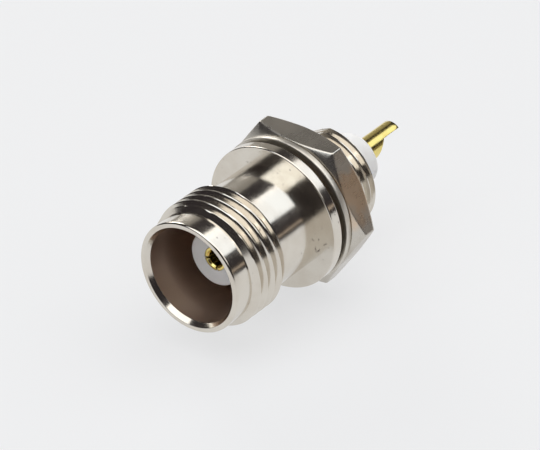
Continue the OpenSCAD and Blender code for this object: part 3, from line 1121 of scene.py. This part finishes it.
# %% Nut faces and thread
NUT_BORE_R, NUT_BORE_BEVEL = BUSHING_R + 0.05, 0.3
NUT_HOLE_R = NUT_BORE_R + NUT_BORE_BEVEL
nut_turn = BUSHING_TURN + (NUT_FRONT - RELIEF_LEN) / BUSHING_PITCH
nut_skin = thread_mesh(
    nut_nickel, BUSHING_PITCH, nut_turn, side=-1.0,
    Start=NUT_FRONT, End=NUT_REAR, Crest_radius=NUT_BORE_R, Depth=thread_depth(BUSHING_PITCH),
    Start_ring=NUT_HOLE_R, Start_bevel=NUT_HOLE_R, Lead=NUT_BORE_BEVEL,
    End_ring=NUT_HOLE_R, End_bevel=NUT_HOLE_R, Tail=NUT_BORE_BEVEL,
)
corner_step = round(NUT_CORNER_SHARE * SEGMENTS)
for ring_at, along in ((0, NUT_FRONT), (-1, NUT_REAR)):
    hole = [
        nut_bm.verts.new(on_ring(NUT_HOLE_R, along, (corner_step + k) / SEGMENTS))
        for k in range(SEGMENTS)
    ]
    skin_rings(nut_bm, [hole, [column[ring_at] for column in columns]])
nut_bm.from_mesh(nut_skin)
nut = piece("nut_hex", nut_bm, nut_nickel)
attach(nut, "nut")
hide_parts("hex_nut")

# %% [markdown]
# ## Floor
# The connector lies on a plain pale table. The floor is set just below the
# circle that the nut's corners sweep, so the nut can turn. It is large, so
# that it fills the picture from every side. Three quarters of what the eye and
# the metal see of it is a plain glow, which keeps it pale and its shadow
# light. The glow lights nothing.

# %% Floor
FLOOR_SIZE = 3.0
FLOOR_LEVEL = -7.6 * MM
FLOOR_TONE = (0.875, 0.88, 0.89, 1.0)
FLOOR_ROUGHNESS, FLOOR_SHINE = 0.7, 0.2
GLOW_SHARE = 0.75


def pale_floor(name):
    finish, w, shader = new_finish(name)
    w.supply(shader, {
        "Base Color": FLOOR_TONE, "Roughness": FLOOR_ROUGHNESS, "Specular IOR Level": FLOOR_SHINE,
    })
    glow = w.add("ShaderNodeEmission", {"Color": FLOOR_TONE, "Strength": 1.0})
    path = w.add("ShaderNodeLightPath").outputs
    seen = w.math("MAXIMUM", path["Is Glossy Ray"], path["Is Transmission Ray"])
    seen = w.math("MAXIMUM", path["Is Camera Ray"], seen)
    both = w.add(
        "ShaderNodeMixShader",
        {0: w.math("MULTIPLY", seen, GLOW_SHARE), 1: shader.outputs[0], 2: glow.outputs[0]},
    )
    output = next(node for node in w.tree.nodes if node.type == "OUTPUT_MATERIAL")
    w.feed(output.inputs["Surface"], both.outputs[0])
    return finish


floor_mesh = bpy.data.meshes.new("floor")
half_floor = FLOOR_SIZE / 2
floor_mesh.from_pydata(
    [(x * half_floor, y * half_floor, FLOOR_LEVEL) for x, y in ((-1, -1), (1, -1), (1, 1), (-1, 1))],
    [], [(0, 1, 2, 3)],
)
floor_mesh.materials.append(pale_floor("floor_pale"))
floor = put("floor", floor_mesh)
print("floor lies at", round(FLOOR_LEVEL / MM, 2), "mm")

# %% [markdown]
# ## Light
# Polished metal shows the room, so the light is one long soft panel over the
# table in a dim room, in three stretches. A cylinder mirrors only a thin slice
# of the room: the neck and the nose mirror the rear stretch as one white band
# with dark to both sides, the threads mirror the middle one, and the flange
# the front one by way of the neck. A box at the right carries the light a
# little further round the threads, a dim one at the back left gives the grey
# on the nut's top flat, and a thin tan strip at the right the warm tone on its
# right one. The fill box stands where no slice reaches, so it lightens the
# shadow on the table and leaves the metal alone.

# %% Panel over the table
PANEL_HEIGHT, PANEL_WIDTH = 0.40, 1.02
PANEL_TURN, PANEL_MIDDLE = math.radians(-22), 0.09
DAYLIGHT, SKYLIGHT = (1.0, 0.99, 0.97), (0.95, 1.0, 1.05)


def soft_light(name, width, height, radiance, tint):
    """A rectangular light; radiance is how bright it looks in a mirror."""
    data = bpy.data.lights.new(name, "AREA")
    data.shape = "RECTANGLE"
    data.size, data.size_y = width, height
    data.energy = radiance * math.pi * width * height
    data.color = tint
    print(name, "gives", round(data.energy, 3), "W")
    return put(name, data)


def overhead_panel(name, front, rear, radiance, tint):
    """A slanted panel over the table, from front to rear in panel heights."""
    length = (rear - front) / math.cos(PANEL_TURN)
    panel = soft_light(name, PANEL_WIDTH * PANEL_HEIGHT, length * PANEL_HEIGHT, radiance, tint)
    middle = (front + rear) / 2
    sideways = PANEL_MIDDLE - middle * math.tan(PANEL_TURN)
    panel.location = Vector((sideways, middle, 1.0)) * PANEL_HEIGHT
    panel.rotation_euler = (0.0, 0.0, PANEL_TURN)


overhead_panel("rear_panel", front=0.70, rear=1.60, radiance=1.38, tint=SKYLIGHT)
overhead_panel("middle_panel", front=-0.65, rear=0.70, radiance=1.75, tint=DAYLIGHT)
overhead_panel("front_panel", front=-1.40, rear=-0.65, radiance=2.12, tint=SKYLIGHT)

# %% Soft boxes and the dim room
CREAM_LIGHT, TAN_LIGHT = (1.0, 0.96, 0.86), (1.0, 0.82, 0.64)
ROOM_TONE = (0.036, 0.031, 0.033, 1.0)
# Each box has its direction, then its distance, width and height in metres,
# its radiance and its tint.
SOFT_BOXES = {
    "right_box": ((0.706, 0.328, 0.63), 0.40, 0.18, 0.18, 1.70, DAYLIGHT),
    "left_fill": ((-0.80, 0.42, 0.42), 0.45, 0.18, 0.18, 5.5, DAYLIGHT),
    "back_left_box": ((-0.697, 0.659, 0.282), 0.45, 0.26, 0.32, 0.27, CREAM_LIGHT),
    "tan_strip": ((0.745, 0.655, 0.130), 0.50, 0.36, 0.030, 0.46, TAN_LIGHT),
}


def soft_box(name, towards, distance, width, height, radiance, tint):
    """A box in one direction from the part, turned to face it."""
    lamp = soft_light(name, width, height, radiance, tint)
    direction = Vector(towards).normalized()
    lamp.location = direction * distance
    lamp.rotation_mode = "QUATERNION"
    lamp.rotation_quaternion = direction.to_track_quat("Z", "Y")


for name, settings in SOFT_BOXES.items():
    soft_box(name, *settings)
world = bpy.data.worlds.new("room")
world.use_nodes = True
world.node_tree.nodes["Background"].inputs["Color"].default_value = ROOM_TONE
scene.world = world
scene.view_settings.view_transform = "Standard"
